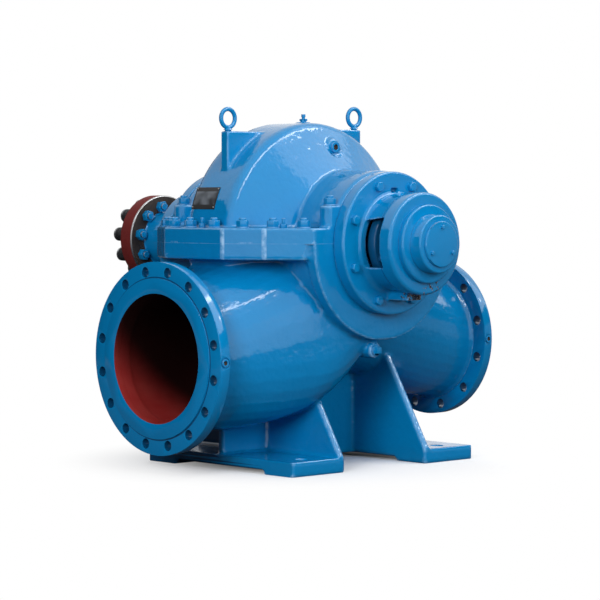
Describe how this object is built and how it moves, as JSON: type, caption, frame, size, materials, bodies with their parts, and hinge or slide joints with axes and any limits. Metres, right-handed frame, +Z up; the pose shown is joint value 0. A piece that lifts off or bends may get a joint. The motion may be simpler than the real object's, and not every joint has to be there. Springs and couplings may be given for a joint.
{
  "type": "split case pump",
  "caption": "Horizontal double-suction split case pump with flanged suction and discharge nozzles, a bearing bracket at each end and the pump half of a pin coupling.",
  "frame": {"origin": "on the base plane, in the middle of the four foundation bolts", "axes": "+X along the shaft towards the closed bearing end, -Y towards the suction flange, +Z up"},
  "size_m": [1.242, 1.086, 1.004],
  "materials": {
    "blue_enamel": "glossy enamel over cast iron",
    "red_primer": "matt red oxide primer",
    "bare_steel": "turned",
    "rubber": "matt"
  },
  "bodies": {
    "pump": {"lower_casing": "blue_enamel", "upper_casing": "blue_enamel", "nde_bearing_bracket": "blue_enamel", "de_bearing_bracket": "blue_enamel", "nde_bearing_cover": "blue_enamel", "de_bearing_cover": "blue_enamel", "nde_cap_plate": "blue_enamel", "nde_inner_cover": "blue_enamel", "de_inner_cover": "blue_enamel", "nde_gland": "blue_enamel", "de_gland": "blue_enamel", "suction_eyebolt": "blue_enamel", "discharge_eyebolt": "blue_enamel", "vent_cock": "blue_enamel", "volute_plug": "blue_enamel", "nde_drain_plug": "blue_enamel", "de_drain_plug": "blue_enamel", "suction_gauge_plug": "blue_enamel", "discharge_gauge_plug": "blue_enamel"},
    "rotor": {"shaft": "bare_steel", "nde_shaft_sleeve": "bare_steel", "de_shaft_sleeve": "bare_steel", "coupling_half": "red_primer", "coupling_pins": "bare_steel", "coupling_bushes": "rubber", "coupling_nuts": "blue_enamel"}
  },
  "joints": [
    {"name": "rotor_spin", "type": "hinge", "parent": "pump", "child": "rotor", "pos_m": [0, -0.03, 0.62], "axis": [1, 0, 0], "continuous": true}
  ]
}
